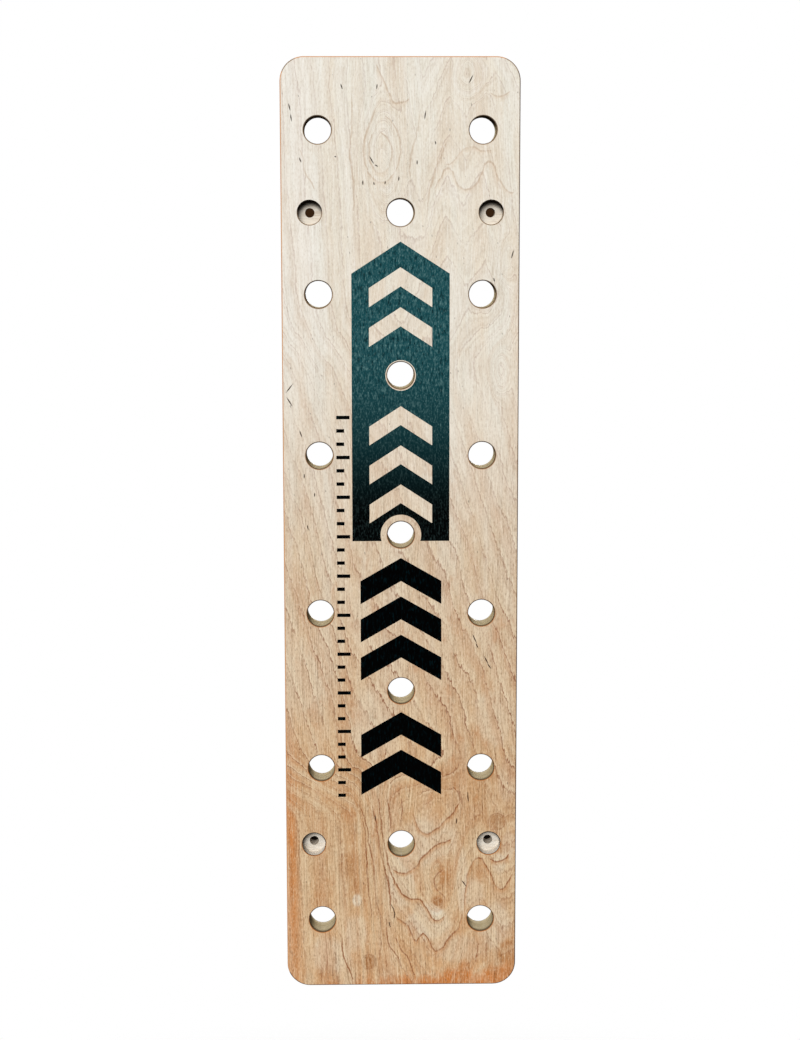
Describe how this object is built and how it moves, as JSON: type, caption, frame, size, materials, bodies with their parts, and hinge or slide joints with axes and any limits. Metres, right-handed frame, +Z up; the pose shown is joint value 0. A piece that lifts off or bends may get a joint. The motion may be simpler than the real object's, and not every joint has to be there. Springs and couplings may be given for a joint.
{
  "type": "climbing pegboard",
  "caption": "Wall-mounted climbing pegboard: a thick plywood panel with rounded corners, staggered round peg holes and counterbored holes for the wall bolts.",
  "frame": {"origin": "centre of the four wall bolts, on the back face", "axes": "+Z up the board, +Y out of the back face into the wall, +X to the right of someone who faces the board"},
  "size_m": [0.3, 0.04, 1.2],
  "materials": {
    "face_veneer": "sanded, clear matt lacquer",
    "crossband": "cut edge, sanded",
    "core_plies": "cut edge, sanded"
  },
  "bodies": {
    "root": {"front_face_veneer": "face_veneer", "front_crossband": "crossband", "core_plies_1": "core_plies", "core_plies_2": "core_plies", "core_plies_3": "core_plies", "core_plies_4": "core_plies", "core_plies_5": "core_plies", "back_crossband": "crossband", "back_face_veneer": "face_veneer"}
  },
  "joints": []
}
